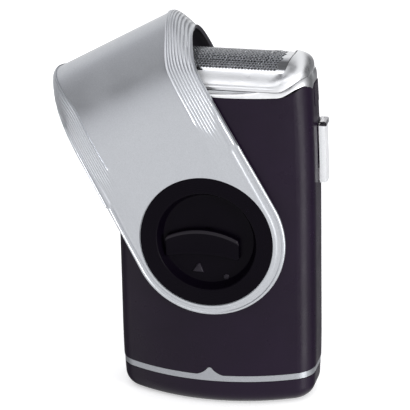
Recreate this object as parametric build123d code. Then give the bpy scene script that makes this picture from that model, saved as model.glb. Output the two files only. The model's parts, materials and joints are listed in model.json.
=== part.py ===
from build123d import *
import math
import os

# Pocket foil shaver with a twist cap, in millimetres.
# Frame: origin at the centre of the flat base, +Z up through the head, front (cap side) towards -Y.

# ---- driving dimensions: body -------------------------------------------------------------------
HALF_WIDTH = 30.0
HALF_DEPTH = 15.25
FRONT_BULGE = 8.8            # how far the front falls back from its centre to the side planes
BACK_BULGE = 2.9
CORNER_R = 8.3
WALL = 1.8
SEAM_Y = 6.5                 # plane where front and rear shells meet
COVER_TOP = 7.9              # battery cover below, band above
BAND_TOP = 10.1
BAND_INSET = 0.12
BAND_GAP = 0.18
PEAK_HALF = 4.1              # the band's flared peak at the front
PEAK_HEIGHT = 2.5
SHELL_TOP = 97.0             # upper edge of the black shells at the front centre
BASE_EDGE_R = 4.8
GAP = 0.15                   # visual and running gap between neighbouring covers

# ---- driving dimensions: twist cap --------------------------------------------------------------
PIVOT_Z = 53.04
CAP_OPEN = 29.0              # degrees that the cap stands open at rest
PLATE_BACK = -15.55
ARM_HALF = 23.4
CREASE_HALF = 15.3
RIDGE_HALF = 19.6
HOOD_WALL = 1.1
BACK_PLATE_W = 30.0          # height above the pivot where the hood's back plate ends
BACK_PLATE_INNER = HALF_DEPTH + 0.45
PLINTH_FRONT = -15.45
DISC_R = 19.95
BOWL_R = 15.2
BOWL_BACK = -9.5
FLOOR_FRONT = -13.3
SLIDER_STEM_LOW = 50.0
SLIDER_TRAVEL = 3.8
SLIDER_HALF = 12.2
SLIDER_R = 12.6

# ---- driving dimensions: head -------------------------------------------------------------------
FOIL_R = 10.5
FOIL_TOP = 107.2
FOIL_T = 0.2
FOIL_HALF = 23.9
FOIL_EDGE_Y = 8.5            # the foil's legs go straight down from here
FOIL_LEG_LOW = 101.0
FOIL_Z = FOIL_TOP - FOIL_R   # axis of the foil's arch
EAR_TOP = 107.7
OPENING_HALF = 24.15         # the frame's opening at the top of the arch
OPENING_FRONT_HALF = 22.0    # and at its front and back edges
FRAME_LIP_Y = 8.75
CARRIER_Y = 9.05
BLADE_COUNT = 26
BLADE_PITCH = 1.6

# ---- driving dimensions: drive and power --------------------------------------------------------
CELL_R = 7.2
CELL_X = 8.4
CELL_Y = 4.0
CELL_BOTTOM = 5.5
CELL_LENGTH = 50.5
MOTOR_BOTTOM = 60.2
MOTOR_TOP = 84.0
SHAFT_R = 1.0
CRANK = 1.2                  # offset of the eccentric pin, half the cutter's stroke
CRANK_PIN_R = 0.9
POST_R = 1.6
POST_TOP = 100.3             # low enough for the cutter to sink by the foil's travel

# ---- driving dimensions: side trimmer and release buttons ---------------------------------------
TRIM_Y = 4.5                 # middle of the slot for the trimmer's tang
TRIM_FRONT = 2.6
TRIM_REAR = 9.6
TRIM_BOTTOM = 67.0
TRIM_TOP = 84.6
TRIM_GAP = 0.3               # between the body's side and the trimmer
TRIM_THICK = 1.95
BUTTON_Y = 4.0
BUTTON_HALF = 3.6
BUTTON_BOTTOM = 91.4
BUTTON_TOP = 97.7


# ---- helpers ------------------------------------------------------------------------------------
def body_scale(z):
    """The body narrows a little towards its top and its base."""
    if z > 60:
        return 1 - 0.04 * ((z - 60) / 40) ** 2
    if z < 15:
        return 1 - 0.03 * ((15 - z) / 15) ** 2
    return 1.0


def outline(inset=0.0, z=40.0):
    """Plan section of the body: crowned front and back, flat sides, round corners."""
    s = body_scale(z)
    half = HALF_WIDTH * s - inset
    front = -HALF_DEPTH * s + inset
    back = HALF_DEPTH * s - inset
    front_corner = front + FRONT_BULGE * s
    back_corner = back - BACK_BULGE * s
    edges = [
        ThreePointArc((-half, front_corner), (0, front), (half, front_corner)),
        Line((half, front_corner), (half, back_corner)),
        ThreePointArc((half, back_corner), (0, back), (-half, back_corner)),
        Line((-half, back_corner), (-half, front_corner)),
    ]
    face = make_face(edges)
    return fillet(face.vertices(), CORNER_R * s - 0.7 * inset)


def body_block(inset, low, high):
    """Solid of the body's outer form between two heights, set in by inset."""
    inner = [z for z in (15, 40, 60, 75, 88) if low + 3 < z < high - 3]
    return loft([Pos(0, 0, z) * outline(inset, z) for z in [low] + inner + [high]])


def box(x0, x1, y0, y1, z0, z1):
    """Box between two corners."""
    return Pos((x0 + x1) / 2, (y0 + y1) / 2, (z0 + z1) / 2) * Box(x1 - x0, y1 - y0, z1 - z0)


def rounded_box(x0, x1, y0, y1, z0, z1, radius):
    """Box with all edges rounded."""
    block = box(x0, x1, y0, y1, z0, z1)
    return fillet(block.edges(), radius)


def tube_z(x, y, z0, z1, outer, inner=0.0):
    """Vertical cylinder or tube."""
    body = Pos(x, y, (z0 + z1) / 2) * Cylinder(outer, z1 - z0)
    if inner:
        body -= Pos(x, y, (z0 + z1) / 2) * Cylinder(inner, z1 - z0 + 2)
    return body


def disc_y(y0, y1, radius, x=0.0, z=PIVOT_Z):
    """Cylinder with its axis along Y."""
    return Pos(x, (y0 + y1) / 2, z) * Rot(90, 0, 0) * Cylinder(radius, y1 - y0)


def ring_y(y0, y1, outer, inner):
    """Ring around the pivot axis."""
    return disc_y(y0, y1, outer) - disc_y(y0 - 1, y1 + 1, inner)


def front_prism(points, y0=-30.0, y1=30.0):
    """Closed outline in the front view (X, Z), pushed through along Y."""
    face = make_face(Polyline(*points, close=True))
    return Pos(0, y1, 0) * extrude(Plane.XZ * face, y1 - y0)


def side_prism(edges, x0, x1):
    """Closed outline in the side view (Y, Z), pushed through along X."""
    return Pos(x0, 0, 0) * extrude(Plane.YZ * make_face(edges), x1 - x0)


def mirrored(shape):
    """The same piece on the other side of the YZ plane."""
    return shape.mirror(Plane.YZ)


# ---- parting lines ------------------------------------------------------------------------------
def shell_edge_region(lower):
    """Everything under the black shells' upper edge: it dips at the front, back and sides."""
    front_cut = front_prism([
        (-40, -5), (40, -5), (40, 99.1 + lower), (27.0, 99.1 + lower), (25.0, 97.8 + lower),
        (22.8, 96.8 + lower), (20.5, 96.4 + lower), (0, SHELL_TOP + lower),
        (-20.5, 96.4 + lower), (-22.8, 96.8 + lower), (-25.0, 97.8 + lower),
        (-27.0, 99.1 + lower), (-40, 99.1 + lower)])
    top = 99.1 + lower
    side = [(-30, -5), (-30, top), (-6.4, top), (-3.6, 98.3 + lower), (-1.2, SHELL_TOP + lower),
            (9.0, SHELL_TOP + lower), (11.0, 98.3 + lower), (13.0, top), (30, top), (30, -5)]
    side_cut = side_prism(Polyline(*side, close=True), -40, 40)
    return front_cut & side_cut


def frame_edge_region(lift):
    """Everything under the line between head skirt and foil frame, which rises to the sides."""
    return front_prism([
        (-40, -5), (40, -5), (40, 101.8 + lift), (27.5, 101.8 + lift), (26.6, 101.5 + lift),
        (25.3, 100.7 + lift), (23.9, 99.7 + lift), (22.0, 98.8 + lift), (20.0, 98.5 + lift),
        (-20.0, 98.5 + lift), (-22.0, 98.8 + lift), (-23.9, 99.7 + lift), (-25.3, 100.7 + lift),
        (-26.6, 101.5 + lift), (-27.5, 101.8 + lift), (-40, 101.8 + lift)])


def band_peak(grow):
    """Peak on the band's upper edge: flared sides and a round tip, pushed through the front wall."""
    low = BAND_TOP - BAND_GAP
    tip = low + PEAK_HEIGHT
    edges = [
        ThreePointArc((-PEAK_HALF, low), (-0.54 * PEAK_HALF, low + 0.3 * PEAK_HEIGHT), (-0.6, tip - 0.25)),
        ThreePointArc((-0.6, tip - 0.25), (0, tip), (0.6, tip - 0.25)),
        ThreePointArc((0.6, tip - 0.25), (0.54 * PEAK_HALF, low + 0.3 * PEAK_HEIGHT), (PEAK_HALF, low)),
        Line((PEAK_HALF, low), (PEAK_HALF, low - 0.3)),
        Line((PEAK_HALF, low - 0.3), (-PEAK_HALF, low - 0.3)),
        Line((-PEAK_HALF, low - 0.3), (-PEAK_HALF, low)),
    ]
    face = make_face(edges)
    if grow:
        face = offset(face, grow)
    return extrude(Plane.XZ * face, 30)


# ---- casing -------------------------------------------------------------------------------------
def shell_tube():
    """Both black shells as one tube, with the pivot's plinth and the openings."""
    tube = body_block(0, BAND_TOP, 100) - body_block(WALL, BAND_TOP - 1, 101)
    tube += disc_y(PLINTH_FRONT, -14.0, 21.5)
    tube += disc_y(PLINTH_FRONT + 1, BOWL_BACK - 0.75, 21.5) & body_block(0.2, BAND_TOP, 100)
    tube -= disc_y(-20, -5, BOWL_R + 0.3)
    tube -= ring_y(PLINTH_FRONT - 1, -14.9, 20.5, 19.1)
    tube &= shell_edge_region(-GAP / 2)
    tube -= box(26, 35, TRIM_Y - 1.7, TRIM_Y + 1.7, TRIM_BOTTOM + 0.3, TRIM_BOTTOM + 10.6)
    tube -= band_peak(BAND_GAP)
    for side in (-1, 1):
        window = box(26, 35, BUTTON_Y - BUTTON_HALF - GAP, BUTTON_Y + BUTTON_HALF + GAP,
                     BUTTON_BOTTOM - GAP, 105)
        tube -= window if side > 0 else mirrored(window)
    return tube


def make_shells():
    """Front and rear shell, parted on a plane near the rear corners."""
    tube = shell_tube()
    front = tube & box(-40, 40, -30, SEAM_Y - 0.04, 0, 110)
    rear = tube & box(-40, 40, SEAM_Y + 0.04, 30, 0, 110)
    for x in (-27.4, 27.4):
        for z in (21, 60):
            boss = box(x - 1.6, x + 1.6, 3.0, SEAM_Y - 0.04, z - 3, z + 3)
            front += boss & body_block(1, 12, 95)
    return {"front_shell": front, "rear_shell": rear}


def make_band():
    """Grey band around the foot of the shells, with a flared peak let into the front shell."""
    skin = body_block(BAND_INSET, COVER_TOP + BAND_GAP, 15) - body_block(WALL - 0.15, COVER_TOP - 1, 16)
    ring = skin & box(-40, 40, -30, 30, COVER_TOP, BAND_TOP - BAND_GAP)
    return {"trim_band": ring + (skin & band_peak(0))}


def make_cover():
    """Battery cover: a cup at the base with a skirt that goes up inside the shells."""
    height = COVER_TOP
    cup = extrude(Pos(0, 0, height) * outline(0.1, height), -height, taper=3)
    cup = fillet(cup.edges().group_by(Axis.Z)[0], BASE_EDGE_R)
    cavity = extrude(Pos(0, 0, 2.2) * outline(3.4, 8), height)
    cup -= cavity
    skirt = body_block(2.15, height - 0.2, 16) - body_block(3.4, height - 1, 17)
    groove = body_block(2.1, 12.0, 13.4) - body_block(2.6, 11.0, 14.4)
    gasket = body_block(1.95, 12.02, 13.38) - body_block(2.6, 11.0, 14.4)
    cover = cup + (skirt - groove)
    return {"battery_cover": cover, "cover_gasket": gasket}


def make_bridge_contact():
    """Spring bridge on the cover's floor that joins the two cells."""
    plate = box(-CELL_X - 4, CELL_X + 4, CELL_Y - 3.5, CELL_Y + 3.5, 2.2, 2.6)
    for x in (-CELL_X, CELL_X):
        plate += Pos(x, CELL_Y, 3.95) * Cone(3.2, 1.6, 2.7)
    return {"cell_bridge": plate}


def make_cells():
    """Two AA cells side by side, one up and one down."""
    cells = {}
    for name, side, up in (("cell_left", -1, True), ("cell_right", 1, False)):
        x = side * CELL_X
        nub = 1.0
        low = CELL_BOTTOM if up else CELL_BOTTOM + nub
        high = low + CELL_LENGTH - nub
        can = tube_z(x, CELL_Y, low, high, CELL_R)
        can = fillet(can.edges(), 0.5)
        nub_low = high if up else CELL_BOTTOM
        cells[name] = can + tube_z(x, CELL_Y, nub_low, nub_low + nub, 2.7)
    return cells


def make_cell_contacts():
    """Two sprung plates above the cells."""
    contacts = {}
    top = CELL_BOTTOM + CELL_LENGTH
    for name, side in (("contact_plus", -1), ("contact_minus", 1)):
        x = side * CELL_X
        plate = box(x - 4.5, x + 4.5, CELL_Y - 4.5, CELL_Y + 4.5, top + 0.6, top + 0.95)
        plate += Pos(x, CELL_Y, top + 0.3) * Cone(1.8, 2.6, 0.6)
        tab = box(x - 1.5, x + 1.5, CELL_Y - 9.6, CELL_Y - 4.5, top + 0.6, top + 0.95)
        contacts[name] = plate + tab
    return contacts


def make_chassis():
    """Inner frame: sleeve for the cells below, cradle for the motor above."""
    top = CELL_BOTTOM + CELL_LENGTH
    sleeve = rounded_box(-17.3, 17.3, CELL_Y - 7.9, CELL_Y + 7.9, 18, top + 0.55, 1.0)
    for x in (-CELL_X, CELL_X):
        sleeve -= tube_z(x, CELL_Y, 10, top + 2, CELL_R + 0.3)
    sleeve += box(-17.2, 17.2, CELL_Y - 7.7, CELL_Y + 7.7, top + 1.0, top + 2.2)
    for x in (-16.5, 16.5):
        sleeve += box(x - 0.7, x + 0.7, CELL_Y - 6, CELL_Y + 6, top - 6, top + 2)
    for side in (-1, 1):
        wall = box(10.7, 12.3, -7.0, 7.0, top + 2.0, 92.6)
        rail = box(12.3, 22.5, -1.2, 1.2, 83.0, 84.6)
        piece = wall + rail
        sleeve += piece if side > 0 else mirrored(piece)
    motor_shelf = box(-11, 11, -7.0, 7.0, MOTOR_TOP, MOTOR_TOP + 1.3)
    sleeve += motor_shelf - tube_z(0, 0, MOTOR_TOP - 1, MOTOR_TOP + 3, 4.2)
    for x, y in ((-8, -4.6), (8, 4.6)):
        sleeve -= tube_z(x, y, MOTOR_TOP - 1, MOTOR_TOP + 3, 0.8)
    return {"chassis": sleeve}


def make_screws():
    """Two pan-head screws that hold the motor to its shelf."""
    screws = Part()
    for x, y in ((-8, -4.6), (8, 4.6)):
        screw = tube_z(x, y, MOTOR_TOP - 1.5, MOTOR_TOP + 1.3, 0.7)
        screw += tube_z(x, y, MOTOR_TOP + 1.3, MOTOR_TOP + 2.1, 1.5)
        screw -= box(x - 1.2, x + 1.2, y - 0.15, y + 0.15, MOTOR_TOP + 1.8, MOTOR_TOP + 3)
        screws += screw
    return {"motor_screws": screws}


# ---- motor and drive ----------------------------------------------------------------------------
def motor_section(inset=0.0):
    """Round motor section with two flats."""
    return Circle(10.1 - inset) & Rectangle(30, 15.0 - 2 * inset)


def make_motor():
    """Flat-sided motor: can, end bell, shaft and the eccentric that turns with it."""
    can = extrude(Pos(0, 0, MOTOR_BOTTOM) * motor_section(), MOTOR_TOP - MOTOR_BOTTOM)
    for x, y in ((-8, -4.6), (8, 4.6)):
        can -= tube_z(x, y, MOTOR_TOP - 1.6, MOTOR_TOP + 1, 0.75)
    can -= tube_z(0, 0, MOTOR_BOTTOM - 1, MOTOR_TOP + 1, SHAFT_R + 0.05)
    bell = extrude(Pos(0, 0, MOTOR_BOTTOM - 1.9) * motor_section(0.6), 1.9)
    bell -= tube_z(0, 0, MOTOR_BOTTOM - 3, MOTOR_TOP, SHAFT_R + 0.05)
    shaft = tube_z(0, 0, MOTOR_BOTTOM - 1.2, 88.4, SHAFT_R)
    wheel = tube_z(0, 0, 86.0, 88.4, 3.0, SHAFT_R)
    wheel += tube_z(0, CRANK, 88.4, 91.4, CRANK_PIN_R)
    return {"motor_can": can, "motor_end_bell": bell, "motor_shaft": shaft, "eccentric": wheel}


def make_drive():
    """Oscillating bridge over the eccentric and the steel post that reaches into the head."""
    yoke = box(-9.4, 9.4, -4.2, 4.2, 89.0, 93.2)
    reach = CRANK + CRANK_PIN_R + 0.25
    yoke -= box(-reach, reach, -reach - 0.3, reach + 0.3, 88, 91.7)
    for x in (-8.0, 8.0):
        yoke -= box(x - 1.6, x + 1.6, -2.6, 2.6, 88, 91.0)
    post = tube_z(0, 0, 93.2, POST_TOP, POST_R)
    return {"drive_bridge": yoke, "drive_post": post}


def make_flexures():
    """Two flat springs that the bridge rocks on, rooted in the motor shelf."""
    leaves = Part()
    for x in (-8.0, 8.0):
        leaves += box(x - 0.15, x + 0.15, -2.2, 2.2, MOTOR_TOP + 2.3, 90.8)
        leaves += box(x - 1.1, x + 1.1, -2.2, 2.2, MOTOR_TOP + 1.3, MOTOR_TOP + 2.3)
    return {"bridge_flexures": leaves}


# ---- head ---------------------------------------------------------------------------------------
def arch_segment(radius, low, x0, x1):
    """Slice of a cylinder along X about the foil's axis, above a height."""
    bar = Pos((x0 + x1) / 2, 0, FOIL_Z) * Rot(0, 90, 0) * Cylinder(radius, x1 - x0)
    return bar & box(x0, x1, -20, 20, low, 120)


def button_clearance():
    """Space kept free around both release buttons."""
    space = box(24.4, 35, BUTTON_Y - 4.9, BUTTON_Y + 4.9, BUTTON_BOTTOM - 1, 96.9)
    return space + mirrored(space)


def make_top_plate():
    """Plate that closes the body under the head, its gasket and the post's rubber boot."""
    plate = body_block(WALL + 0.08, 93.8, 96.0)
    plate -= tube_z(0, 0, 90, 100, 4.4)
    plate -= button_clearance()
    groove = body_block(WALL, 94.4, 95.4) - body_block(WALL + 0.8, 94.0, 96.0)
    gasket = (body_block(WALL + 0.08, 94.45, 95.35) - body_block(WALL + 0.8, 94.0, 96.0))
    gasket -= button_clearance()
    boot = tube_z(0, 0, 93.8, 96.0, 4.4) + Pos(0, 0, 96.8) * Cone(4.0, 3.4, 1.6)
    boot -= tube_z(0, 0, 90, 100, POST_R + CRANK + 0.15)
    return {"top_plate": plate - groove, "top_gasket": gasket, "post_boot": boot}


def head_form():
    """Outer form of skirt and foil frame together."""
    arch = [
        Line((-14.6, 90), (-14.4, 97.0)),
        Line((-14.4, 97.0), (-12.0, 98.5)),
        Spline((-12.0, 98.5), (-11.7, 100.0), (-10.5, 101.7), (-8.6, 103.4)),
        ThreePointArc((-8.6, 103.4), (0, EAR_TOP), (8.6, 103.4)),
        Spline((8.6, 103.4), (10.5, 101.7), (11.7, 100.0), (12.0, 98.5)),
        Line((12.0, 98.5), (14.4, 97.0)),
        Line((14.4, 97.0), (14.6, 90)),
        Line((14.6, 90), (-14.6, 90)),
    ]
    across = side_prism(arch, -30, 30)
    side = [
        Line((28.6, 90), (28.3, 98.5)),
        Spline((28.3, 98.5), (28.5, 101.5), (28.1, 103.8), (26.8, 106.0), (24.2, EAR_TOP)),
        Line((24.2, EAR_TOP), (-24.2, EAR_TOP)),
        Spline((-24.2, EAR_TOP), (-26.8, 106.0), (-28.1, 103.8), (-28.5, 101.5), (-28.3, 98.5)),
        Line((-28.3, 98.5), (-28.6, 90)),
        Line((-28.6, 90), (28.6, 90)),
    ]
    along = Pos(0, 30, 0) * extrude(Plane.XZ * make_face(side), 60)
    lower = body_block(0.15, 90, 100)
    upper = extrude(Pos(0, 0, 98.5) * fillet(Rectangle(57.2, 24.6).vertices(), 7.0), 12)
    return across & along & (lower + upper)


def make_head():
    """Chrome skirt and the foil frame with its two round ears."""
    form = head_form()
    room = box(-24.6, 24.6, -9.25, 9.25, 90, 102.4)
    under_ears = box(-OPENING_HALF, OPENING_HALF, -FRAME_LIP_Y, FRAME_LIP_Y, 90, 120)
    room += under_ears & arch_segment(FOIL_R + 0.12, 90, -30, 30)
    mouth = Polyline((OPENING_HALF, -2), (OPENING_FRONT_HALF, -FRAME_LIP_Y),
                     (-OPENING_FRONT_HALF, -FRAME_LIP_Y), (-OPENING_HALF, -2),
                     (-OPENING_HALF, 2), (-OPENING_FRONT_HALF, FRAME_LIP_Y),
                     (OPENING_FRONT_HALF, FRAME_LIP_Y), (OPENING_HALF, 2), close=True)
    room += extrude(Pos(0, 0, 90) * make_face(mouth), 30)
    frame = (form - frame_edge_region(GAP / 2)) - room
    skirt = (form & frame_edge_region(-GAP / 2)) - shell_edge_region(GAP / 2)
    skirt -= room
    skirt -= box(-26.5, 26.5, -10.6, 10.6, 90, 98.0) & body_block(3.4, 89, 99)
    notch = box(25.0, 35, BUTTON_Y - BUTTON_HALF - 0.3, BUTTON_Y + BUTTON_HALF + 0.3, 90, 98.0)
    skirt -= notch
    skirt -= mirrored(notch)
    return {"foil_frame": frame, "head_skirt": skirt}


def make_foil():
    """Arched foil and the black carrier that floats in the frame."""
    leg_top = FOIL_Z + math.sqrt(FOIL_R ** 2 - FOIL_EDGE_Y ** 2)
    arch = arch_segment(FOIL_R, leg_top, -FOIL_HALF, FOIL_HALF)
    arch += box(-FOIL_HALF, FOIL_HALF, -FOIL_EDGE_Y, FOIL_EDGE_Y, FOIL_LEG_LOW, leg_top)
    inside = FOIL_EDGE_Y - FOIL_T
    hollow = arch_segment(FOIL_R - FOIL_T, leg_top, -30, 30) & box(-30, 30, -inside, inside, 90, 120)
    foil = arch - hollow - box(-30, 30, -inside, inside, 90, leg_top + 0.01)
    carrier = box(-24.3, 24.3, -CARRIER_Y, CARRIER_Y, 99.2, 101.9)
    carrier -= box(-22.6, 22.6, -FOIL_EDGE_Y - 0.02, FOIL_EDGE_Y + 0.02, 90, 110)
    carrier -= box(-24.1, 24.1, -FOIL_EDGE_Y - 0.02, FOIL_EDGE_Y + 0.02, FOIL_LEG_LOW - 0.1, 110)
    for side in (-1, 1):
        former = arch_segment(FOIL_R - FOIL_T - 0.04, FOIL_LEG_LOW - 0.1, 22.6, 24.1)
        former &= box(20, 30, -inside + 0.04, inside - 0.04, 90, 120)
        carrier += former if side > 0 else mirrored(former)
    return {"foil": foil, "foil_carrier": carrier}


def make_float_springs():
    """Two bent leaf springs under the foil carrier."""
    springs = Part()
    for side in (-1, 1):
        leaf = box(22.8, 24.2, -6, 6, 96.0, 96.25)
        springs += leaf if side > 0 else mirrored(leaf)
        for y in (-4.5, 4.5):
            rise = Pos(side * 23.5, y, 96.5) * Rot(0, 90, 0) * Cylinder(0.35, 1.4)
            springs += rise
    return {"float_springs": springs}


def make_cutter():
    """Cutter block: a carrier on the post, with a row of arched blades."""
    carrier = box(-20.9, 20.9, -7.4, 7.4, 99.2, 102.0)
    carrier = fillet(carrier.edges().filter_by(Axis.Z), 1.5)
    carrier -= tube_z(0, 0, 98, 103, POST_R + 0.05)
    carrier -= box(-19.5, -3.5, -5.5, 5.5, 99, 101.0)
    carrier -= box(3.5, 19.5, -5.5, 5.5, 99, 101.0)
    blades = Part()
    first = -BLADE_PITCH * (BLADE_COUNT - 1) / 2
    for i in range(BLADE_COUNT):
        x = first + i * BLADE_PITCH
        blade = arch_segment(FOIL_R - FOIL_T - 0.2, 102.0, x - 0.15, x + 0.15)
        blade -= arch_segment(FOIL_R - 3.6, 103.0, x - 1, x + 1)
        blade &= box(x - 1, x + 1, -7.95, 7.95, 100, 110)
        blades += blade
    return {"cutter_carrier": carrier, "cutter_blades": blades}


# ---- release buttons ----------------------------------------------------------------------------
def make_buttons():
    """Release button in each side, with the leaf spring that pushes it out."""
    y0 = BUTTON_Y - BUTTON_HALF
    y1 = BUTTON_Y + BUTTON_HALF
    cap = box(27.0, 29.75, y0, y1, BUTTON_BOTTOM, BUTTON_TOP)
    cap = fillet(cap.edges().filter_by(Axis.X), 0.8)
    cap &= body_block(-0.12, BUTTON_BOTTOM - 2, 99)
    flange = box(25.9, 27.0, y0 - 0.8, y1 + 0.8, BUTTON_BOTTOM + 1, 96.2)
    flange &= body_block(WALL + 0.35, BUTTON_BOTTOM - 2, 99)
    button = cap + flange
    spring = box(25.65, 25.9, y0 + 1, y1 - 1, BUTTON_BOTTOM + 1.4, BUTTON_BOTTOM + 4.4)
    return {"release_button_right": button, "release_button_left": mirrored(button),
            "button_spring_right": spring, "button_spring_left": mirrored(spring)}


# ---- pivot disc, switch -------------------------------------------------------------------------
def make_pivot():
    """Black dished disc that the cap turns on, its inner clip ring and the detent ring."""
    disc = ring_y(-16.5, -16.25, DISC_R, 14.4)
    disc += ring_y(-16.3, PLINTH_FRONT, 17.3, 14.4)
    disc += ring_y(-16.3, BOWL_BACK, BOWL_R, 14.4)
    dish = disc_y(-16.5, -12.3, BOWL_R)
    dish -= Pos(0, (-16.6 + FLOOR_FRONT) / 2, PIVOT_Z) * Rot(90, 0, 0) * Cone(13.5, 15.0, 3.3)
    disc += dish
    slot = box(-1.6, 1.6, -20, -5, SLIDER_STEM_LOW - 0.2, SLIDER_STEM_LOW + 2.6 + SLIDER_TRAVEL + 0.2)
    disc -= slot
    clip = ring_y(BOWL_BACK - 0.7, BOWL_BACK, 17.2, BOWL_R + 0.05)
    detent = ring_y(PLINTH_FRONT + 0.02, -14.92, 20.3, 19.3)
    return {"pivot_disc": disc, "pivot_clip": clip, "detent_ring": detent}


def make_switch():
    """Thumb slider in the dish, its inner carriage and the fixed contact block."""
    arc_r = 26.0
    top = Pos(0, 57.0 - arc_r) * Circle(arc_r)
    bottom = Pos(0, 49.4 - 40.0) * Circle(40.0)
    face = (top - bottom) & Pos(0, PIVOT_Z) * Rectangle(2 * SLIDER_HALF, 16.0)
    face &= Pos(0, PIVOT_Z) * Circle(SLIDER_R)
    bar = Pos(0, -13.35, 0) * extrude(Plane.XZ * face, 1.9)
    edges = [e for e in bar.edges() if e.center().Y < -15.2]
    bar = fillet(edges, 0.45)
    stem = box(-1.3, 1.3, -13.5, -11.4, SLIDER_STEM_LOW, SLIDER_STEM_LOW + 2.6)
    carriage = box(-4.5, 4.5, -11.4, -10.2, 48.6, 54.4)
    fixed = box(-7.0, 7.0, -9.9, -8.2, 45.0, 64.0)
    fixed -= box(-3.0, 3.0, -10.5, -9.2, 46.0, 63.0)
    return {"switch_slider": bar + stem, "switch_carriage": carriage, "switch_block": fixed}


def make_leads():
    """Flat metal leads from the cell contacts to the switch block and to the motor."""
    top = CELL_BOTTOM + CELL_LENGTH
    left = box(-CELL_X - 1.5, -CELL_X + 1.5, CELL_Y - 10.0, CELL_Y - 9.6, 50.0, top + 0.95)
    left += box(-CELL_X - 1.5, -CELL_X + 1.5, -8.2, CELL_Y - 9.6, 49.6, 50.0)
    right = box(CELL_X - 1.5, CELL_X + 1.5, CELL_Y - 10.0, CELL_Y - 9.6, top + 0.6, 58.2)
    return {"switch_lead": left, "motor_lead": right}


# ---- twist cap ----------------------------------------------------------------------------------
# Side-view sections of the hood, as (Y, height above the pivot) from front to back.
MID_TOP = [(-17.0, 42.0), (-16.5, 47.6), (-15.0, 52.2), (-12.2, 56.5), (-8.5, 60.7), (-5.5, 62.9),
           (-2.0, 63.9), (2.0, 63.6), (6.0, 62.2), (10.0, 60.1), (13.3, 57.3), (15.6, 53.9),
           (16.7, 50.0), (17.0, 46.0)]
RIDGE_TOP = [(-16.6, 42.0), (-16.1, 47.0), (-14.5, 51.4), (-11.8, 55.8), (-8.3, 60.2), (-5.4, 62.7),
             (-2.0, 63.8), (2.0, 63.3), (6.0, 61.6), (10.0, 58.9), (13.0, 55.8), (15.2, 52.2),
             (16.5, 48.5), (16.8, 45.0)]
RIM_TOP = [(-16.3, 42.0), (-15.8, 45.6), (-14.3, 48.6), (-11.6, 51.3), (-8.6, 53.5), (-4.8, 55.6),
           (-1.2, 56.6), (2.5, 56.3), (6.0, 55.2), (9.5, 53.2), (12.3, 50.7), (14.6, 47.6),
           (15.9, 44.8), (16.3, 42.0)]


def inset_points(points, amount):
    """Move a section's points inwards along their normals."""
    moved = []
    last = len(points) - 1
    for i, (y, w) in enumerate(points):
        ya, wa = points[max(i - 1, 0)]
        yb, wb = points[min(i + 1, last)]
        length = math.hypot(yb - ya, wb - wa)
        normal = ((wb - wa) / length, -(yb - ya) / length)
        if i in (0, last):
            normal = (1.0, 0.0) if i == 0 else (-1.0, 0.0)
        moved.append((y + amount * normal[0], w + amount * normal[1]))
    return moved


def hood_section(points, u, amount, foot):
    """Closed side-view section of the hood at one place across its width."""
    if amount:
        points = inset_points(points, amount)
    front = points[0]
    back = points[-1]
    edges = [
        Line((front[0], foot), front),
        Spline(*points, tangents=[(0, 1), (0, -1)]),
        Line(back, (back[0], foot)),
        Line((back[0], foot), (front[0], foot)),
    ]
    return Pos(u, 0, 0) * (Plane.YZ * make_face(edges))


def hood_block(amount, foot, reach):
    """Solid under the hood's sections, straight in the middle and falling to both rims."""
    rim_amount = amount * 1.25
    middle = extrude(hood_section(MID_TOP, -CREASE_HALF, amount, foot), 2 * CREASE_HALF)
    sections = [
        hood_section(MID_TOP, CREASE_HALF, amount, foot),
        hood_section(RIDGE_TOP, RIDGE_HALF, amount * 1.6, foot),
        hood_section(RIM_TOP, ARM_HALF, rim_amount, foot),
    ]
    if reach:
        sections.append(hood_section(RIM_TOP, ARM_HALF + reach, rim_amount, foot))
    side = loft(sections, ruled=True)
    return middle + side + mirrored(side)


def cap_outline():
    """Front view of the cap: a round foot about the pivot and straight sides."""
    foot = Circle(ARM_HALF)
    arm = Pos(0, 40) * Rectangle(2 * ARM_HALF, 80)
    return Pos(0, 30, 0) * extrude(Plane.XZ * (foot + arm), 60)


def make_cap():
    """Twist cap: ring about the disc, flat arm and the hood that covers the head."""
    outer = hood_block(0, -30, 0)
    inner = hood_block(HOOD_WALL, -40, 3)
    inner &= box(-40, 40, PLATE_BACK, 40, -50, 80)
    cap = outer - inner
    cap -= box(-40, 40, PLATE_BACK, 13, -60, 43)
    cap -= box(-40, 40, 0, BACK_PLATE_INNER, 20, 46.5)
    cap &= cap_outline()
    cap -= box(-40, 40, 0, 40, -60, BACK_PLATE_W)
    trim = Polyline((ARM_HALF + 0.1, 0), (19.7, 16.4), (19.3, 20), (40, 20), (40, 0), close=True)
    corner = extrude(Pos(0, 0, -60) * make_face(trim), 140)
    cap -= corner
    cap -= mirrored(corner)
    seat = Pos(0, 0, -PIVOT_Z) * disc_y(-20, -16.15, DISC_R + 0.15)
    bore = Pos(0, 0, -PIVOT_Z) * disc_y(-20, -10, 17.5)
    cap -= seat
    cap -= bore
    return {"twist_cap": Pos(0, 0, PIVOT_Z) * Rot(0, -CAP_OPEN, 0) * cap}


# ---- side trimmer -------------------------------------------------------------------------------
def side_skin(inner, outer, low, high, front, rear):
    """Layer that follows the right side of the body, between two offsets, two heights and two depths."""
    layer = body_block(-outer, low - 4, high + 4) - body_block(-inner, low - 5, high + 5)
    return layer & box(20, 40, front, rear, low, high)


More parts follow.
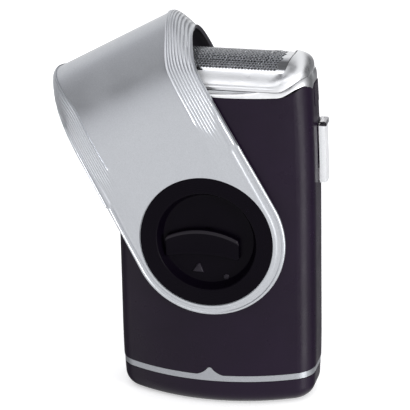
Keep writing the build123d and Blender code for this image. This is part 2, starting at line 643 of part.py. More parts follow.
def make_trimmer():
    """Long-hair trimmer around the right rear corner: slide, keeper, comb and moving blade."""
    outer = TRIM_GAP + TRIM_THICK
    slide = side_skin(TRIM_GAP, outer, TRIM_BOTTOM, TRIM_TOP, TRIM_FRONT, TRIM_REAR)
    slide += box(27.2, 30.6, TRIM_Y - 1.5, TRIM_Y + 1.5, TRIM_BOTTOM + 0.6, TRIM_BOTTOM + 4.4)
    keeper = box(26.2, 27.2, TRIM_Y - 2.6, TRIM_Y + 1.9, TRIM_BOTTOM - 0.5, TRIM_BOTTOM + 5.5)
    comb_top = TRIM_TOP + 0.45
    comb = side_skin(TRIM_GAP + 0.1, outer + 0.4, TRIM_TOP, comb_top, TRIM_FRONT - 0.2, TRIM_REAR + 0.2)
    blade = side_skin(TRIM_GAP + 0.3, outer + 0.15, comb_top + 0.05, comb_top + 0.5,
                      TRIM_FRONT + 0.6, TRIM_REAR - 0.8)
    teeth = 7
    for i in range(teeth):
        y = TRIM_FRONT + 0.5 + i
        comb -= box(31.3 - 0.035 * (i ** 2), 36, y - 0.2, y + 0.2, TRIM_TOP - 1, comb_top + 1)
        if 0 < i < teeth - 1:
            blade -= box(31.2 - 0.035 * (i ** 2), 36, y - 0.2, y + 0.2, TRIM_TOP, comb_top + 1)
    return {"trimmer_slide": slide, "trimmer_keeper": keeper, "trimmer_comb": comb,
            "trimmer_blade": blade}


# ---- write every piece --------------------------------------------------------------------------
def all_pieces():
    """Every node of the shaver by name."""
    makers = [make_shells, make_band, make_cover, make_bridge_contact, make_cells,
              make_cell_contacts, make_chassis, make_screws, make_motor, make_drive, make_flexures,
              make_top_plate, make_head, make_foil, make_float_springs, make_cutter, make_buttons,
              make_pivot, make_switch, make_leads, make_cap, make_trimmer]
    pieces = {}
    for maker in makers:
        pieces.update(maker())
    return pieces


os.makedirs("parts", exist_ok=True)
for node, shape in all_pieces().items():
    export_step(shape, f"parts/{node}.step")
    print(node, round(shape.volume, 1))
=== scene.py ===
import json
import math

import bmesh
import bpy
import numpy as np
from mathutils import Matrix, Vector


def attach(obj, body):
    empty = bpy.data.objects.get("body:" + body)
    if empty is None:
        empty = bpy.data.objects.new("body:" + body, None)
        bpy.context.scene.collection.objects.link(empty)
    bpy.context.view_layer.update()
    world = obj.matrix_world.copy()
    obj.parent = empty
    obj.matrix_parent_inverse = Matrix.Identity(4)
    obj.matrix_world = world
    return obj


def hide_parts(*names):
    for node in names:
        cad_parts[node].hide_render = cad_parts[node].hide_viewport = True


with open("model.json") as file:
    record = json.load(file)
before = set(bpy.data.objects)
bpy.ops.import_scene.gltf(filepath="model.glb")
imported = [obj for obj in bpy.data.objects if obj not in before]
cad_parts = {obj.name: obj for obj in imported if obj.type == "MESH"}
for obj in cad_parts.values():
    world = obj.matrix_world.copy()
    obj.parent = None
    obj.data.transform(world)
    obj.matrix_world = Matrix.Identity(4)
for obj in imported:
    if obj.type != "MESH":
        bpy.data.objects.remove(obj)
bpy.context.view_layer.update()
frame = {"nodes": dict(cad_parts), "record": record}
MM = 0.001
SCENE = bpy.context.scene


# ---- camera ------------------------------------------------------------------------------------
def make_camera():
    """Long lens, a little to the right of the object's front and above it."""
    azimuth, elevation, roll = (math.radians(a) for a in (14.14, 20.16, -1.13))
    target = Vector((-4.21, 0.0, 58.44)) * MM
    distance = 0.7
    back = Vector((math.sin(azimuth) * math.cos(elevation),
                   -math.cos(azimuth) * math.cos(elevation), math.sin(elevation)))
    right = Vector((math.cos(azimuth), math.sin(azimuth), 0))
    up = back.cross(right)
    x_axis = right * math.cos(roll) + up * math.sin(roll)
    y_axis = up * math.cos(roll) - right * math.sin(roll)
    data = bpy.data.cameras.new("camera")
    data.sensor_width = 36
    data.lens = 205.76
    data.clip_start = 0.01
    data.clip_end = 20
    camera = bpy.data.objects.new("camera", data)
    SCENE.collection.objects.link(camera)
    turn = Matrix((x_axis, y_axis, back)).transposed().to_4x4()
    camera.matrix_world = Matrix.Translation(target + back * distance) @ turn
    SCENE.camera = camera


make_camera()


# ---- studio ------------------------------------------------------------------------------------
# A lobe is a direction of the room and its greys, as (nearness to the direction, grey).
DIM_LOBES = [
    ((-0.68, -0.58, 0.45), [(0.66, 1), (0.78, 0.9), (0.86, 0.5), (0.93, 0.2), (1, 0.12)]),
    ((-0.23, 0.0, 0.97), [(0.80, 1), (0.92, 0.5), (0.97, 0.15)]),
    ((0.60, 0.78, -0.15), [(0.72, 1), (0.90, 0.15)]),
    ((-0.75, 0.50, -0.45), [(0.76, 1), (0.92, 0.12)]),
]
GLOW_LOBE = ((0.908, -0.243, -0.345), [(0.965, 0), (0.992, 1)])
GLOW_POWER = 4.0
ROOM_POWER = 1.1
FLOOR_REACH = 6.0
FLOOR_GLOW = 0.45


def area_light(name, place, target, size, power):
    """Rectangular softbox at a place, facing a target."""
    data = bpy.data.lights.new(name, "AREA")
    data.shape = "RECTANGLE"
    data.size, data.size_y = size
    data.energy = power
    light = bpy.data.objects.new(name, data)
    light.location = place
    light.rotation_mode = "QUATERNION"
    light.rotation_quaternion = (Vector(target) - Vector(place)).to_track_quat("-Z", "Y")
    SCENE.collection.objects.link(light)


def lobe(tree, place, centre, stops):
    """Grey that changes with nearness to one direction of the room."""
    lean = tree.nodes.new("ShaderNodeVectorMath")
    lean.operation = "DOT_PRODUCT"
    lean.inputs[1].default_value = Vector(centre).normalized()
    ramp = tree.nodes.new("ShaderNodeValToRGB")
    tree.links.new(place, lean.inputs[0])
    tree.links.new(lean.outputs["Value"], ramp.inputs["Fac"])
    elements = ramp.color_ramp.elements
    while len(elements) < len(stops):
        elements.new(0.5)
    for element, (position, grey) in zip(elements, stops):
        element.position = position
        element.color = (grey, grey, min(1.0, grey * 1.03), 1)
    return ramp.outputs["Color"]


def join_light(tree, operation, first, second):
    """Two greys of the room, multiplied or added."""
    node = tree.nodes.new("ShaderNodeVectorMath")
    node.operation = operation
    tree.links.new(first, node.inputs[0])
    tree.links.new(second, node.inputs[1])
    return node.outputs["Vector"]


def make_world():
    """Light room, dimmer at the front left, overhead and behind both sides, brighter low right."""
    world = bpy.data.worlds.new("studio")
    SCENE.world = world
    world.use_nodes = True
    tree = world.node_tree
    tree.nodes.clear()
    place = tree.nodes.new("ShaderNodeTexCoord").outputs["Generated"]
    background = tree.nodes.new("ShaderNodeBackground")
    out = tree.nodes.new("ShaderNodeOutputWorld")
    light = lobe(tree, place, *DIM_LOBES[0])
    for dim_lobe in DIM_LOBES[1:]:
        light = join_light(tree, "MULTIPLY", light, lobe(tree, place, *dim_lobe))
    glow = tree.nodes.new("ShaderNodeVectorMath")
    glow.operation = "SCALE"
    glow.inputs["Scale"].default_value = GLOW_POWER
    tree.links.new(lobe(tree, place, *GLOW_LOBE), glow.inputs[0])
    light = join_light(tree, "ADD", light, glow.outputs["Vector"])
    tree.links.new(light, background.inputs["Color"])
    tree.links.new(background.outputs[0], out.inputs[0])
    background.inputs["Strength"].default_value = ROOM_POWER


def make_studio():
    """Pale floor, the light room and two soft lights."""
    SCENE.view_settings.view_transform = "Standard"
    make_world()
    area_light("key", (0.9, -0.5, 0.16), (0, 0, 0.06), (0.25, 0.5), 8)
    area_light("front_top", (-0.2, -0.6, 0.9), (0, 0, 0.06), (1.0, 0.6), 2.2)
    mesh = bpy.data.meshes.new("floor")
    corners = [(-1, -1, 0), (1, -1, 0), (1, 1, 0), (-1, 1, 0)]
    mesh.from_pydata([Vector(corner) * FLOOR_REACH for corner in corners], [], [(0, 1, 2, 3)])
    floor = bpy.data.objects.new("floor", mesh)
    SCENE.collection.objects.link(floor)
    paint, nodes = new_material("floor_paint", (0.85, 0.85, 0.86), 0.8)
    nodes.shader.inputs["Emission Color"].default_value = (1, 1, 1, 1)
    nodes.shader.inputs["Emission Strength"].default_value = FLOOR_GLOW
    mesh.materials.append(paint)
    floor.visible_glossy = False


# ---- materials ---------------------------------------------------------------------------------
CELL_BOTTOM = 5              # heights between which the batteries' jackets change colour
CELL_TOP = 56


class Nodes:
    """Small helper over one material's node tree."""

    def __init__(self, material):
        self.tree = material.node_tree
        self.shader = self.tree.nodes["Principled BSDF"]

    def add(self, kind, **values):
        """New node with values on its named inputs."""
        node = self.tree.nodes.new(kind)
        for name, value in values.items():
            node.inputs[name].default_value = value
        return node

    def link(self, source, target):
        self.tree.links.new(source, target)

    def noise(self, scale, detail=2.0, stretch=None):
        """Noise in object space; scale is in features per metre."""
        place = self.add("ShaderNodeTexCoord")
        node = self.add("ShaderNodeTexNoise", Scale=scale, Detail=detail)
        if stretch:
            mapping = self.add("ShaderNodeMapping")
            mapping.inputs["Scale"].default_value = stretch
            self.link(place.outputs["Object"], mapping.inputs["Vector"])
            self.link(mapping.outputs[0], node.inputs["Vector"])
        else:
            self.link(place.outputs["Object"], node.inputs["Vector"])
        return node

    def roughness(self, source, low, high):
        """Roughness between two values, driven by a noise."""
        spread = self.add("ShaderNodeMapRange")
        spread.inputs["From Min"].default_value = 0.3
        spread.inputs["From Max"].default_value = 0.7
        spread.inputs["To Min"].default_value = low
        spread.inputs["To Max"].default_value = high
        self.link(source, spread.inputs["Value"])
        self.link(spread.outputs[0], self.shader.inputs["Roughness"])

    def colour(self, source, dark, light):
        """Base colour between two colours, driven by a noise."""
        ramp = self.add("ShaderNodeValToRGB")
        ramp.color_ramp.elements[0].position = 0.3
        ramp.color_ramp.elements[0].color = (*dark, 1)
        ramp.color_ramp.elements[1].position = 0.7
        ramp.color_ramp.elements[1].color = (*light, 1)
        self.link(source, ramp.inputs["Fac"])
        self.link(ramp.outputs[0], self.shader.inputs["Base Color"])

    def bump(self, source, height):
        """Fine relief of a height in metres, driven by a noise."""
        node = self.add("ShaderNodeBump", Strength=1.0, Distance=height)
        self.link(source, node.inputs["Height"])
        self.link(node.outputs[0], self.shader.inputs["Normal"])


def new_material(name, colour, rough, metallic=0.0, specular=0.5):
    """Principled material with its constants on the shader's own sockets."""
    material = bpy.data.materials.new(name)
    material.use_nodes = True
    nodes = Nodes(material)
    shader = nodes.shader
    shader.inputs["Base Color"].default_value = (*colour, 1)
    shader.inputs["Roughness"].default_value = rough
    shader.inputs["Metallic"].default_value = metallic
    shader.inputs["Specular IOR Level"].default_value = specular
    return material, nodes


def shade(colour, factor):
    """The same colour, darker or lighter."""
    return tuple(min(1.0, c * factor) for c in colour)


def moulded_plastic(name, colour, rough, grain=2600, depth=0.012, specular=0.5):
    """Moulded plastic: spark-eroded grain, faint flow shading and uneven gloss."""
    material, nodes = new_material(name, colour, rough, 0.0, specular)
    flow = nodes.noise(45, 3)
    nodes.colour(flow.outputs["Fac"], shade(colour, 0.85), shade(colour, 1.15))
    haze = nodes.noise(160, 4)
    nodes.roughness(haze.outputs["Fac"], rough * 0.85, rough * 1.15)
    texture = nodes.noise(grain, 2)
    nodes.bump(texture.outputs["Fac"], depth * MM)
    return material


def silver_paint(name, colour, rough, metallic):
    """Metallic paint on plastic: fine flakes, orange peel and a thin clear coat."""
    material, nodes = new_material(name, colour, rough, metallic)
    shader = nodes.shader
    shader.inputs["Coat Weight"].default_value = 0.25
    shader.inputs["Coat Roughness"].default_value = 0.25
    flakes = nodes.add("ShaderNodeTexVoronoi", Scale=9000.0)
    place = nodes.add("ShaderNodeTexCoord")
    nodes.link(place.outputs["Object"], flakes.inputs["Vector"])
    nodes.colour(flakes.outputs["Color"], shade(colour, 0.92), shade(colour, 1.06))
    haze = nodes.noise(120, 4)
    nodes.roughness(haze.outputs["Fac"], rough * 0.9, rough * 1.1)
    peel = nodes.noise(1500, 2)
    nodes.bump(peel.outputs["Fac"], 0.006 * MM)
    return material


def plated(name, colour, rough):
    """Bright plating with a faint waviness and fine hairlines."""
    material, nodes = new_material(name, colour, rough, 1.0)
    haze = nodes.noise(300, 4)
    nodes.roughness(haze.outputs["Fac"], rough * 0.7, rough * 1.4)
    nodes.colour(haze.outputs["Fac"], shade(colour, 0.96), shade(colour, 1.03))
    wave = nodes.noise(220, 2)
    nodes.bump(wave.outputs["Fac"], 0.01 * MM)
    return material


def brushed(name, colour, rough, stretch=(40, 1, 1)):
    """Brushed or rolled metal with fine lines along one direction."""
    material, nodes = new_material(name, colour, rough, 1.0)
    lines = nodes.noise(90, 6, stretch)
    nodes.colour(lines.outputs["Fac"], shade(colour, 0.88), shade(colour, 1.08))
    nodes.roughness(lines.outputs["Fac"], rough * 0.7, rough * 1.4)
    nodes.bump(lines.outputs["Fac"], 0.004 * MM)
    return material


def soft_rubber(name, colour):
    """Matt rubber with a dusty grain."""
    material, nodes = new_material(name, colour, 0.8, 0.0, 0.3)
    dust = nodes.noise(900, 5)
    nodes.colour(dust.outputs["Fac"], shade(colour, 0.8), shade(colour, 1.5))
    nodes.roughness(dust.outputs["Fac"], 0.7, 0.9)
    nodes.bump(dust.outputs["Fac"], 0.02 * MM)
    return material


def printed_jacket(name, colour):
    """Shrink jacket of a cell: coloured film over most of it, a bright ring at one end."""
    material, nodes = new_material(name, colour, 0.3, 0.6)
    place = nodes.add("ShaderNodeTexCoord")
    split = nodes.add("ShaderNodeSeparateXYZ")
    nodes.link(place.outputs["Object"], split.inputs[0])
    ramp = nodes.add("ShaderNodeValToRGB")
    ramp.color_ramp.interpolation = "CONSTANT"
    ramp.color_ramp.elements[0].color = (0.62, 0.50, 0.26, 1)
    ramp.color_ramp.elements[1].position = 0.35
    ramp.color_ramp.elements[1].color = (*colour, 1)
    spread = nodes.add("ShaderNodeMapRange")
    spread.inputs["From Min"].default_value = CELL_BOTTOM * MM
    spread.inputs["From Max"].default_value = CELL_TOP * MM
    nodes.link(split.outputs["Z"], spread.inputs["Value"])
    nodes.link(spread.outputs[0], ramp.inputs["Fac"])
    nodes.link(ramp.outputs[0], nodes.shader.inputs["Base Color"])
    wrinkle = nodes.noise(200, 3)
    nodes.roughness(wrinkle.outputs["Fac"], 0.22, 0.4)
    nodes.bump(wrinkle.outputs["Fac"], 0.02 * MM)
    return material


MATERIALS = {
    "body_black": moulded_plastic("body_black", (0.0075, 0.0032, 0.0115), 0.3, 2600, 0.008, 0.15),
    "band_grey": silver_paint("band_grey", (0.30, 0.31, 0.335), 0.35, 0.6),
    "cap_silver": silver_paint("cap_silver", (0.485, 0.50, 0.53), 0.38, 0.85),
    "cap_inside": moulded_plastic("cap_inside", (0.02, 0.017, 0.024), 0.5),
    "bright_chrome": plated("bright_chrome", (0.76, 0.77, 0.79), 0.36),
    # The holed field's steel is a darkened copy of the margin's steel: painted shade over the holed
    # field.
    "foil_steel": brushed("foil_steel", (0.30, 0.31, 0.335), 0.13, (1, 30, 30)),
    "foil_margin": brushed("foil_margin", (0.66, 0.67, 0.69), 0.11, (1, 30, 30)),
    "disc_black": moulded_plastic("disc_black", (0.0018, 0.001, 0.003), 0.34, 3000, 0.005, 0.05),
    "mark_grey": moulded_plastic("mark_grey", (0.009, 0.0065, 0.012), 0.4, 3000, 0.006, 0.2),
    # A lighter, glossier black for the switch bar's upper rounded edge: a painted highlight where the
    # bevel catches the overhead light.
    "painted_highlight_black": moulded_plastic("painted_highlight_black", (0.007, 0.005, 0.009), 0.35, 3000, 0.005, 0.2),
    "dark_steel": brushed("dark_steel", (0.06, 0.055, 0.065), 0.35),
    "inner_plastic": moulded_plastic("inner_plastic", (0.03, 0.03, 0.033), 0.5),
    "white_plastic": moulded_plastic("white_plastic", (0.80, 0.80, 0.76), 0.45),
    "rubber": soft_rubber("rubber", (0.02, 0.02, 0.02)),
    "contact_metal": brushed("contact_metal", (0.78, 0.70, 0.50), 0.3),
    "steel": brushed("steel", (0.60, 0.60, 0.62), 0.25),
    "motor_metal": brushed("motor_metal", (0.55, 0.56, 0.58), 0.35, (1, 1, 30)),
    "cell_jacket": printed_jacket("cell_jacket", (0.05, 0.12, 0.30)),
    "trimmer_silver": silver_paint("trimmer_silver", (0.80, 0.81, 0.83), 0.3, 0.3),
}
make_studio()


# ---- mesh helpers ------------------------------------------------------------------------------
class Skin:
    """Quads of one piece, gathered patch by patch in millimetres."""

    def __init__(self):
        self.points = []
        self.faces = []
        self.kinds = []

    def patch(self, grid, kind=0, closed=False):
        """Adds a grid of points as quads; closed joins the last column to the first."""
        grid = np.asarray(grid, float)
        rows, cols = grid.shape[:2]
        start = len(self.points)
        self.points += grid.reshape(-1, 3).tolist()
        for i in range(rows - 1):
            for j in range(cols if closed else cols - 1):
                a = start + i * cols + j
                b = start + i * cols + (j + 1) % cols
                self.faces.append((a, b, b + cols, a + cols))
                self.kinds.append(kind)

    def strip(self, first, second, kind=0, steps=1, closed=False):
        """Adds a strip between two lines of points."""
        first = np.asarray(first, float)
        second = np.asarray(second, float)
        rows = [first + (second - first) * i / steps for i in range(steps + 1)]
        self.patch(rows, kind, closed)

    def make(self, name, body, materials, sharp, place=None):
        """Joins the patches into one shown piece that rides on a body; sharp is in degrees."""
        points = np.array(self.points)
        if place:
            points = place(points)
        mesh = bpy.data.meshes.new(name)
        mesh.from_pydata((points * MM).tolist(), [], self.faces)
        mesh.polygons.foreach_set("material_index", self.kinds)
        work = bmesh.new()
        work.from_mesh(mesh)
        bmesh.ops.remove_doubles(work, verts=work.verts, dist=2e-6)
        bmesh.ops.dissolve_degenerate(work, edges=work.edges, dist=1e-6)
        bmesh.ops.recalc_face_normals(work, faces=work.faces)
        work.to_mesh(mesh)
        work.free()
        mesh.shade_smooth()
        mesh.set_sharp_from_angle(angle=math.radians(sharp))
        for material in materials:
            mesh.materials.append(MATERIALS[material])
        piece = bpy.data.objects.new(name, mesh)
        SCENE.collection.objects.link(piece)
        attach(piece, body)
        return piece


def smoothstep(value, low, high):
    """0 below low, 1 above high, smooth in between."""
    f = np.clip((np.asarray(value, float) - low) / (high - low), 0, 1)
    return f * f * (3 - 2 * f)


def smooth_curve(points, steps, start, end):
    """Curve with even curvature through points, with given end directions."""
    p = np.array(points, float)
    n = len(p)
    matrix = np.eye(n)
    right = np.zeros_like(p)
    right[0] = start
    right[-1] = end
    for i in range(1, n - 1):
        matrix[i, i - 1:i + 2] = (1, 4, 1)
        right[i] = 3 * (p[i + 1] - p[i - 1])
    slope = np.linalg.solve(matrix, right)
    s = np.linspace(0, n - 1, (n - 1) * steps + 1)
    k = np.minimum(s.astype(int), n - 2)
    f = (s - k)[:, None]
    a = (2 * f - 3) * f * f + 1
    b = ((f - 2) * f + 1) * f
    c = (3 - 2 * f) * f * f
    d = (f - 1) * f * f
    return a * p[k] + b * slope[k] + c * p[k + 1] + d * slope[k + 1]


# ---- twist cap ---------------------------------------------------------------------------------
PIVOT_Z = 53.04
CAP_OPEN = 29.0
CREASE_HALF = 15.3
RIM_HALF = 23.2
BAND_FOOT = 22.5             # height above the pivot where the arm's upper grid starts
STEP_W = 0.3
REEDS = 9
REED_COLUMNS = 6             # columns of the grid across one reed
REED_DEPTH = 0.16
STEP_DEPTH = 0.36
RING_COLUMN = 34             # column of the band where the ring's edge strip starts
PLATE_FRONT = -17.0
PLATE_FALL = 0.7             # how far the plate's front falls back from its crease to its rim
PLATE_BACK = -15.55
PLATE_TOP = 43.0             # height above the pivot up to which the arm's back is flat
SEAT_BACK = -16.15
BORE_R = 17.5
EDGE_R = 0.5
HOOD_WALL = 0.8
HOOD_BULGE = 2.2             # how far the band swells between crease and rim
HOOD_TAPER = 0.2256          # narrowing of the hood's side per millimetre behind the body's middle
REAR_FOOT = 30.0             # height above the pivot where the hood's back plate ends
REAR_INNER = 15.7            # inner face of the back plate
REAR_TOP = 46.5              # height above the pivot where the back plate starts to curve over
SPAN_STEPS = 7               # rows of the grid between two points of a section
FOOT_STEPS = 96              # steps of the ring round the foot
# Side-view sections of the hood as (Y, height above the pivot): at its middle and at its rim.
MIDDLE = [(-17.0, 38.0), (-16.6, 44.5), (-15.3, 50.6), (-12.7, 55.8), (-8.8, 60.4), (-5.5, 62.9),
          (-2.0, 63.9), (2.0, 63.6), (6.0, 62.2), (10.0, 60.1), (13.3, 57.3), (15.6, 53.9),
          (16.7, 50.0), (17.0, 46.0)]
RIM = [(-16.3, 38.0), (-15.85, 44.9), (-14.3, 48.6), (-11.6, 51.3), (-8.6, 53.5), (-4.8, 55.6),
       (-1.2, 56.6), (2.5, 56.5), (6.1, 55.9), (10.1, 54.5), (13.35, 52.2), (15.4, 48.7),
       (16.3, 45.2), (16.5, 42.0)]


def lean_outline(points):
    """Tapers the arm, more on its left, shifts the ring right of the disc and leans the hood."""
    u, y, w = points.T
    reach = np.where(w > 0, np.abs(u), np.hypot(u, w))
    side = u / np.maximum(reach, 1e-6)
    start = 20.15 - 4.85 * smoothstep(w, 12, 30)
    share = np.clip((reach - start) / (RIM_HALF - start), 0, 1.1)
    rise = np.maximum(w, 0)
    right = 0.5 - 0.3 * smoothstep(w, 0, 35)
    taper = 0.034 * np.minimum(rise, 45) * (1 - smoothstep(w, 47.5, 57))
    left = (0.3 + taper - 0.5 * smoothstep(w, 50, 57)) * (1 - smoothstep(y, -9, 4))
    moved = points.copy()
    moved[:, 0] += share * (right * (1 + side) / 2 + left * (1 - side) / 2)
    moved[:, 2] -= (0.5 + 0.012 * u) * smoothstep(w, 44, 60)
    return moved


def place_cap(points):
    """From the cap's own frame, pivot at the origin and arm along +Z, to its open position."""
    turn = math.radians(CAP_OPEN)
    u, y, w = lean_outline(points).T
    x = u * math.cos(turn) - w * math.sin(turn)
    z = PIVOT_Z + u * math.sin(turn) + w * math.cos(turn)
    return np.stack([x, y, z], axis=1)


def section_rows(points, rise, down):
    """A side-view section row by row: straight up the arm, over the hood and down its back plate."""
    p = np.array(points)
    first = (0, p[1, 1] - p[0, 1])
    last = (0, p[-1, 1] - p[-2, 1])
    arch = smooth_curve(points, SPAN_STEPS, first, last)
    front = np.stack([np.full(len(rise), p[0, 0]), rise], axis=1)
    fall = p[-1, 1] + (REAR_FOOT - p[-1, 1]) * down
    back = np.stack([np.full(len(down), p[-1, 0]), fall], axis=1)
    return np.concatenate([front, arch, back])


def hood_rows():
    """Middle and rim sections, half widths of crease and rim, and the band's bulge, row by row."""
    spans = len(MIDDLE) - 1
    ramp = 5
    rise = np.concatenate([np.arange(BAND_FOOT, 31, 0.55), np.linspace(31.4, 37.2, 8)])
    down = np.linspace(0, 1, 8)[1:]
    middle = section_rows(MIDDLE, rise, down)
    rim = section_rows(RIM, rise, down)
    s = np.concatenate([np.zeros(len(rise)), np.linspace(0, spans, SPAN_STEPS * spans + 1),
                        np.full(len(down), spans)])
    swell = np.minimum(np.minimum(s, ramp), spans - s) / ramp
    bulge = HOOD_BULGE * np.sin(math.pi / 2 * swell) ** 1.2
    rim_half = RIM_HALF - HOOD_TAPER * np.maximum(rim[:, 0], 0)
    behind = np.arange(len(s)) > np.argmax(middle[:, 1])
    crease = CREASE_HALF + 4.4 * smoothstep(np.where(behind, 64, middle[:, 1]), 49.0, 66.5)
    crease = np.minimum(crease, rim_half - 3.4)
    return middle, rim, crease, rim_half, bulge


def band_columns():
    """Shares of the band's width at its columns, from the crease to the rim."""
    width = RIM_HALF - CREASE_HALF
    reeds = np.linspace(STEP_W, width, REEDS * REED_COLUMNS + 1)
    return np.concatenate([[0, STEP_W / 2], reeds]) / width


def rim_distance(columns):
    """Distance of the band's columns from the outline."""
    return (1 - columns) * (RIM_HALF - CREASE_HALF)


def ring_relief(e):
    """Lip, groove and bevel along the outline, by distance from it."""
    groove = smoothstep(e, 0.75, 1.0) * (1 - smoothstep(e, 1.75, 2.5))
    crown = 0.05 * smoothstep(e, 2.0, 2.6) * (1 - smoothstep(e, 2.9, 3.1))
    return crown - 0.26 * groove


def edge_drop(e):
    """Rounding of the outer edge."""
    near = np.clip(EDGE_R - e, 0, EDGE_R)
    return EDGE_R - np.sqrt(EDGE_R ** 2 - near ** 2)


def band_relief(columns, w, u):
    """Step and reeds across the band, which end in a tongue above the ring."""
    k = np.arange(len(columns)) - 2
    phase = (k % REED_COLUMNS) / REED_COLUMNS
    reeds = -REED_DEPTH * (2 * phase - 1) ** 2
    reeds[:2] = (0, -STEP_DEPTH)
    reeds[2] = -REED_DEPTH
    tongue = 22.9 + np.where(u < 18.3, 0.75, 0.4) * (u - 18.3) ** 2
    shown = smoothstep(w, tongue, tongue + 7.0)
    return shown * reeds[None, :] + (1 - shown) * ring_relief(rim_distance(columns))[None, :]


def hood_base(middle, rim, crease, rim_half, bulge, columns):
    """Right half of the hood's smooth form: crease to rim."""
    b = columns[None, :]
    y = middle[:, :1] + (rim[:, :1] - middle[:, :1]) * b
    w = middle[:, 1:] + (rim[:, 1:] - middle[:, 1:]) * b + bulge[:, None] * 4 * b * (1 - b)
    u = crease[:, None] + (rim_half - crease)[:, None] * b
    return np.stack([u, y, w], axis=2)


def surface_normals(grid):
    """Unit normals of a grid of points, towards the front and the top."""
    along = np.gradient(grid, axis=0)
    across = np.gradient(grid, axis=1)
    normal = np.cross(along, across)
    normal /= np.linalg.norm(normal, axis=2, keepdims=True)
    return normal


def hood_grids():
    """Outer and inner grids of arm and hood, from the left rim to the right rim."""
    middle, rim, crease, rim_half, bulge = hood_rows()
    columns = band_columns()
    band = hood_base(middle, rim, crease, rim_half, bulge, columns)
    relief = band_relief(columns, band[:, :, 2], band[:, :, 0])
    relief = relief - edge_drop(rim_distance(columns))[None, :]
    share = np.linspace(-1, 1, 31)[1:-1]
    centre = np.stack([crease[:, None] * share[None, :],
                       np.repeat(middle[:, :1], len(share), axis=1),
                       np.repeat(middle[:, 1:], len(share), axis=1)], axis=2)
    left = band[:, ::-1] * (-1, 1, 1)
    base = np.concatenate([left, centre, band], axis=1)
    raised = np.concatenate([relief[:, ::-1], np.zeros(centre.shape[:2]), relief], axis=1)
    outer = base + surface_normals(base) * raised[:, :, None]
    before_crest = np.arange(len(middle))[:, None] < np.argmax(middle[:, 1])
    inner = hood_inside(base, before_crest)
    inner[0, :, 2] = BAND_FOOT
    outer[0, :, 2] = BAND_FOOT
    outer[0, :, 0] = base[0, :, 0]
    return outer, inner


def hood_inside(base, before_crest):
    """Inner face of arm and hood: flat behind the arm, a wall inside the hood, flat at the rear."""
    along = np.gradient(base, axis=0)
    length = np.hypot(along[:, :, 1], along[:, :, 2])
    inner = base.copy()
    inner[:, :, 1] += HOOD_WALL * along[:, :, 2] / length
    inner[:, :, 2] -= HOOD_WALL * along[:, :, 1] / length
    inner[:, :, 1] = np.maximum(inner[:, :, 1], PLATE_BACK)
    behind_arm = before_crest & (inner[:, :, 2] < PLATE_TOP)
    inner[:, :, 1] = np.where(behind_arm, PLATE_BACK, inner[:, :, 1])
    low_back = (inner[:, :, 1] > 0) & (inner[:, :, 2] < REAR_TOP)
    inner[:, :, 1] = np.where(low_back, np.maximum(inner[:, :, 1], REAR_INNER), inner[:, :, 1])
    return inner


def plate_front(reach):
    """Depth of the plate's front face by distance from the cap's middle line."""
    beyond = np.clip(reach - CREASE_HALF, 0, None)
    return PLATE_FRONT + PLATE_FALL * beyond / (RIM_HALF - CREASE_HALF)


def flat(points, y):
    """The same points moved to one depth."""
    moved = np.array(points, float)
    moved[..., 1] = y
    return moved


def ring_grid(outer, edge, rise):
    """Edge strip of the arm and the ring, from the arm's right side round the foot to its left."""
    path = [(1, 0, w) for w in rise]
    path += [(math.cos(a), math.sin(a), 0) for a in np.linspace(0, -math.pi, FOOT_STEPS + 1)[1:]]
    path += [(-1, 0, w) for w in rise[::-1][1:]]
    reach = RIM_HALF - edge
    y = plate_front(reach) - ring_relief(edge) + edge_drop(edge)
    ring = np.array([np.stack([reach * cos, y, w + reach * sin], axis=1) for cos, sin, w in path])
    ring[0, :, 1] = outer[0, :, 1][::-1][:len(edge)]
    ring[-1, :, 1] = outer[0, :, 1][:len(edge)]
    return ring


def web_grid(outer, edge, rise):
    """Plate between the seat's upper half and the arm, in rows from the seat outwards."""
    seat_r = RIM_HALF - edge[-1]
    top = outer[0, len(edge) - 1:outer.shape[1] - len(edge) + 1][::-1]
    side = np.array([(seat_r, 0, w) for w in rise[::-1]])
    outline = np.concatenate([side[:-1], top, (side * (-1, 1, 1))[::-1][1:]])
    arc = outline.copy()
    length = np.hypot(outline[:, 0], outline[:, 2])
    arc[:, 0] *= seat_r / length
    arc[:, 2] *= seat_r / length
    web = np.array([arc + (outline - arc) * i / 10 for i in range(11)])
    web[:, :, 1] = plate_front(np.abs(web[:, :, 0]))
    web[-1, len(side) - 1:len(side) - 1 + len(top), 1] = top[:, 1]
    return web


def add_seat(skin, rim_line, bore_share):
    """Seat for the disc's flange and the bore through the plate."""
    seat = flat(rim_line, SEAT_BACK)
    bore = seat * (bore_share, 1, bore_share)
    skin.strip(rim_line, seat, closed=True)
    skin.strip(seat, bore, closed=True)
    skin.strip(bore, flat(bore, PLATE_BACK), closed=True)
    skin.strip(flat(bore, PLATE_BACK), flat(rim_line, PLATE_BACK), 1, closed=True)


def make_twist_cap():
    """Twist cap: reeded hood and arm, ring with lip and groove, and the seat about the disc."""
    skin = Skin()
    outer, inner = hood_grids()
    skin.patch(outer)
    skin.patch(inner, 1)
    crest = np.argmax(outer[:, outer.shape[1] // 2, 2])
    for side in (0, -1):
        skin.strip(outer[:crest + 1, side], inner[:crest + 1, side])
        skin.strip(outer[crest:, side], inner[crest:, side], 1)
    skin.strip(outer[-1], inner[-1])

    edge = rim_distance(band_columns())[RING_COLUMN:][::-1]
    rise = np.linspace(BAND_FOOT, 0, 25)
    ring = ring_grid(outer, edge, rise)
    skin.patch(ring)
    skin.patch(flat(ring, PLATE_BACK), 1)
    skin.strip(ring[:, 0], flat(ring[:, 0], PLATE_BACK))
    web = web_grid(outer, edge, rise)
    skin.patch(web)
    skin.patch(flat(web, PLATE_BACK), 1)

    lower = ring[len(rise) - 1:len(rise) + FOOT_STEPS, -1]
    rim_line = np.concatenate([web[0][:-1], lower[::-1][:-1]])
    add_seat(skin, rim_line, BORE_R / (RIM_HALF - edge[-1]))
    cap = skin.make("twist_cap_body", "cap",
                    ["cap_silver", "cap_inside"], 50, place_cap)
    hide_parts("twist_cap")


